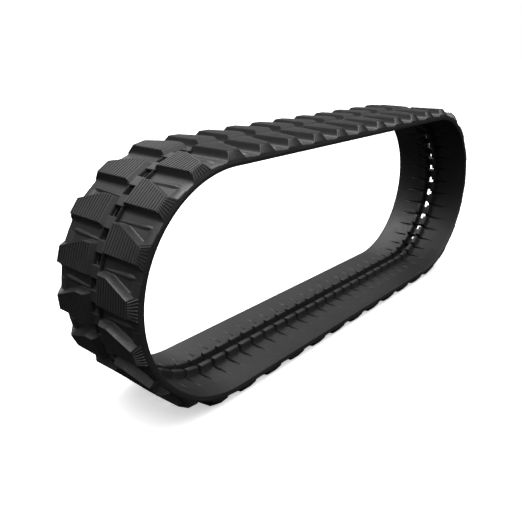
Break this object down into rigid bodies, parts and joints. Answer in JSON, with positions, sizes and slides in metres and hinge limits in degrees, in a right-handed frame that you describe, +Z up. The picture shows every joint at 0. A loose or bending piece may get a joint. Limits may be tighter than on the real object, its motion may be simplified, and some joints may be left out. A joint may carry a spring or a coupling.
{
  "type": "rubber track",
  "caption": "Endless rubber track for a small tracked machine, with tread lugs, guide lugs and sprocket windows over steel cores.",
  "frame": {"origin": "on the ground, below the middle of the loop", "axes": "+X along the bottom run, +Y across the belt, +Z up"},
  "size_m": [1.7582, 0.3, 0.6658],
  "materials": {
    "moulded_rubber": "satin",
    "forged_steel": "rough",
    "steel_cord": "satin"
  },
  "bodies": {
    "bottom_run": {"carcass_bottom": "moulded_rubber", "tread_lugs_bottom": "moulded_rubber", "guide_lugs_bottom": "moulded_rubber", "steel_cores_bottom": "forged_steel", "cord_belts_bottom": "steel_cord"},
    "rear_1": {"carcass_rear_1": "moulded_rubber", "tread_lugs_rear_1": "moulded_rubber", "guide_lugs_rear_1": "moulded_rubber", "steel_cores_rear_1": "forged_steel", "cord_belts_rear_1": "steel_cord"},
    "rear_2": {"carcass_rear_2": "moulded_rubber", "tread_lugs_rear_2": "moulded_rubber", "guide_lugs_rear_2": "moulded_rubber", "steel_cores_rear_2": "forged_steel", "cord_belts_rear_2": "steel_cord"},
    "rear_3": {"carcass_rear_3": "moulded_rubber", "tread_lugs_rear_3": "moulded_rubber", "guide_lugs_rear_3": "moulded_rubber", "steel_cores_rear_3": "forged_steel", "cord_belts_rear_3": "steel_cord"},
    "rear_4": {"carcass_rear_4": "moulded_rubber", "tread_lugs_rear_4": "moulded_rubber", "guide_lugs_rear_4": "moulded_rubber", "steel_cores_rear_4": "forged_steel", "cord_belts_rear_4": "steel_cord"},
    "top_run": {"carcass_top": "moulded_rubber", "tread_lugs_top": "moulded_rubber", "guide_lugs_top": "moulded_rubber", "steel_cores_top": "forged_steel", "cord_belts_top": "steel_cord"},
    "front_4": {"carcass_front_4": "moulded_rubber", "tread_lugs_front_4": "moulded_rubber", "guide_lugs_front_4": "moulded_rubber", "steel_cores_front_4": "forged_steel", "cord_belts_front_4": "steel_cord"},
    "front_3": {"carcass_front_3": "moulded_rubber", "tread_lugs_front_3": "moulded_rubber", "guide_lugs_front_3": "moulded_rubber", "steel_cores_front_3": "forged_steel", "cord_belts_front_3": "steel_cord"},
    "front_2": {"carcass_front_2": "moulded_rubber", "tread_lugs_front_2": "moulded_rubber", "guide_lugs_front_2": "moulded_rubber", "steel_cores_front_2": "forged_steel", "cord_belts_front_2": "steel_cord"},
    "front_1": {"carcass_front_1": "moulded_rubber", "tread_lugs_front_1": "moulded_rubber", "guide_lugs_front_1": "moulded_rubber", "steel_cores_front_1": "forged_steel", "cord_belts_front_1": "steel_cord"}
  },
  "joints": [
    {"name": "front_root_bend", "type": "hinge", "parent": "bottom_run", "child": "front_1", "pos_m": [-0.52725, 0, 0.027], "axis": [0, 1, 0], "range_deg": [-4, 2.5], "stiffness_Nm_per_rad": 1500},
    {"name": "front_lower_sway", "type": "hinge", "parent": "front_1", "child": "front_2", "pos_m": [-0.77506, 0, 0.12988], "axis": [0, 1, 0], "range_deg": [-5, 5], "stiffness_Nm_per_rad": 1500},
    {"name": "front_round_press", "type": "hinge", "parent": "front_2", "child": "front_3", "pos_m": [-0.85215, 0, 0.3329], "axis": [0, 1, 0], "range_deg": [-5, 8], "stiffness_Nm_per_rad": 1500},
    {"name": "front_upper_sway", "type": "hinge", "parent": "front_3", "child": "front_4", "pos_m": [-0.77506, 0, 0.53592], "axis": [0, 1, 0], "range_deg": [-5, 5], "stiffness_Nm_per_rad": 1500},
    {"name": "front_top_bend", "type": "hinge", "parent": "front_4", "child": "top_run", "pos_m": [-0.52725, 0, 0.63879], "axis": [0, 1, 0], "range_deg": [-4, 2.5], "stiffness_Nm_per_rad": 1500},
    {"name": "rear_root_bend", "type": "hinge", "parent": "bottom_run", "child": "rear_1", "pos_m": [0.52725, 0, 0.027], "axis": [0, 1, 0], "range_deg": [-2.5, 4], "stiffness_Nm_per_rad": 1500},
    {"name": "rear_lower_sway", "type": "hinge", "parent": "rear_1", "child": "rear_2", "pos_m": [0.77506, 0, 0.12988], "axis": [0, 1, 0], "range_deg": [-5, 5], "stiffness_Nm_per_rad": 1500},
    {"name": "rear_round_press", "type": "hinge", "parent": "rear_2", "child": "rear_3", "pos_m": [0.85215, 0, 0.3329], "axis": [0, 1, 0], "range_deg": [-8, 5], "stiffness_Nm_per_rad": 1500},
    {"name": "rear_upper_sway", "type": "hinge", "parent": "rear_3", "child": "rear_4", "pos_m": [0.77506, 0, 0.53592], "axis": [0, 1, 0], "range_deg": [-5, 5], "stiffness_Nm_per_rad": 1500}
  ],
  "couplings": [
    {"joint": "front_root_bend", "follows": "front_round_press", "ratio": -0.5},
    {"joint": "front_top_bend", "follows": "front_round_press", "ratio": -0.5},
    {"joint": "rear_root_bend", "follows": "front_round_press", "ratio": 0.5},
    {"joint": "rear_round_press", "follows": "front_round_press", "ratio": -1},
    {"joint": "front_upper_sway", "follows": "front_lower_sway", "ratio": -1},
    {"joint": "rear_lower_sway", "follows": "front_lower_sway", "ratio": 1},
    {"joint": "rear_upper_sway", "follows": "front_lower_sway", "ratio": -1}
  ]
}
